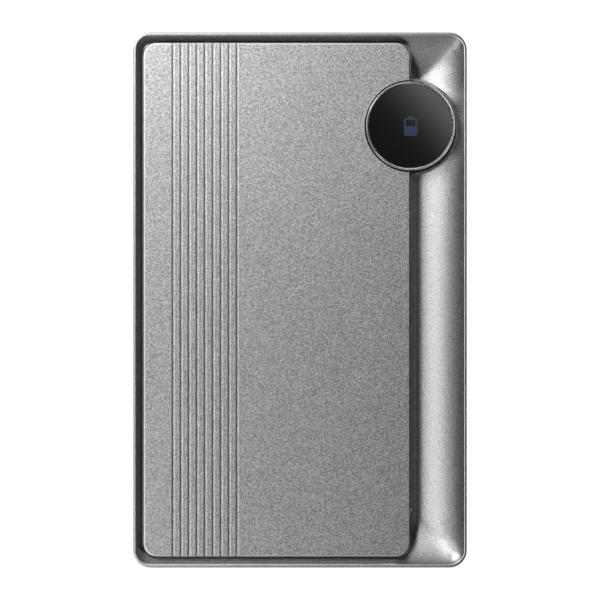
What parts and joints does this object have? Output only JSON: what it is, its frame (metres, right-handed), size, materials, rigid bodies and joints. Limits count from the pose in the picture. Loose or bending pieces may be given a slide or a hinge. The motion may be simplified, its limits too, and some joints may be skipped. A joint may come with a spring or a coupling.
{
  "type": "power bank",
  "caption": "Palm-size metal power bank: tray with coved side channel, raised ribbed front plate, round glass-topped push button, USB sockets in the top edge and a flat back.",
  "frame": {"origin": "centre of the underside, on the flat back", "axes": "+Z out of the front face, +Y along the long side towards the edge with the sockets, +X towards the coved channel"},
  "size_m": [0.068, 0.109, 0.0163],
  "materials": {
    "tray_alloy": "bead-blasted, clear anodised, satin silver grey",
    "plate_alloy": "bead-blasted, clear anodised, satin silver grey with dark cut grooves",
    "cover_alloy": "bead-blasted, clear anodised, satin silver grey",
    "polished_ring": "polished chamfered ring",
    "smoked_lens": "near-black gloss lens",
    "legend_ink": "muted blue pictogram",
    "black_plastic": "fine matt black moulding",
    "clear_plastic": "frosted light guide",
    "white_plastic": "white moulding",
    "chip_plastic": "black moulded package",
    "steel": "plated steel",
    "socket_steel": "nickel-plated deep-drawn shell",
    "circuit_board": "green solder mask",
    "ferrite": "sintered ferrite block",
    "ceramic": "ceramic capacitor",
    "capacitor_can": "drawn can",
    "cell_pouch": "laminated foil pouch",
    "nickel": "nickel strip",
    "foam": "thin foam and double-sided tape",
    "red_insulation": "silicone insulation",
    "black_insulation": "silicone insulation",
    "amber_film": "polyimide film"
  },
  "bodies": {
    "housing": {"housing_tray": "tray_alloy", "front_plate": "plate_alloy", "back_cover": "cover_alloy", "plate_adhesive": "foam", "case_screw_1": "steel", "case_screw_2": "steel", "case_screw_3": "steel", "case_screw_4": "steel", "button_collar": "black_plastic", "switch_body": "chip_plastic", "main_board": "circuit_board", "board_screw_1": "steel", "board_screw_2": "steel", "board_screw_3": "steel", "usb_a_shell": "socket_steel", "usb_a_tongue": "white_plastic", "usb_c_shell": "socket_steel", "usb_c_tongue": "chip_plastic", "socket_fascia": "black_plastic", "inductor": "ferrite", "converter_chip": "chip_plastic", "controller_chip": "chip_plastic", "capacitor_1": "ceramic", "capacitor_2": "ceramic", "capacitor_3": "capacitor_can", "status_led": "white_plastic", "battery_connector": "white_plastic", "cell_adhesive": "foam", "cell_lower": "cell_pouch", "cell_bond_tape": "foam", "cell_upper": "cell_pouch", "cell_foam_pad": "foam", "protection_board": "circuit_board", "lower_cell_tab_positive": "nickel", "lower_cell_tab_negative": "nickel", "upper_cell_tab_positive": "nickel", "upper_cell_tab_negative": "nickel", "lead_positive": "red_insulation", "lead_negative": "black_insulation", "thermistor": "amber_film", "insulation_sheet": "amber_film"},
    "button": {"button_body": "black_plastic", "button_ring": "polished_ring", "light_guide": "clear_plastic", "button_lens": "smoked_lens", "button_legend": "legend_ink", "retaining_clip": "steel"},
    "plunger": {"switch_plunger": "white_plastic"}
  },
  "joints": [
    {"name": "button_press", "type": "slide", "parent": "housing", "child": "button", "axis": [0, 0, -1], "range_m": [0, 0.0005]},
    {"name": "plunger_press", "type": "slide", "parent": "housing", "child": "plunger", "axis": [0, 0, -1], "range_m": [0, 0.0005]}
  ],
  "couplings": [
    {"joint": "plunger_press", "follows": "button_press", "ratio": 1}
  ]
}
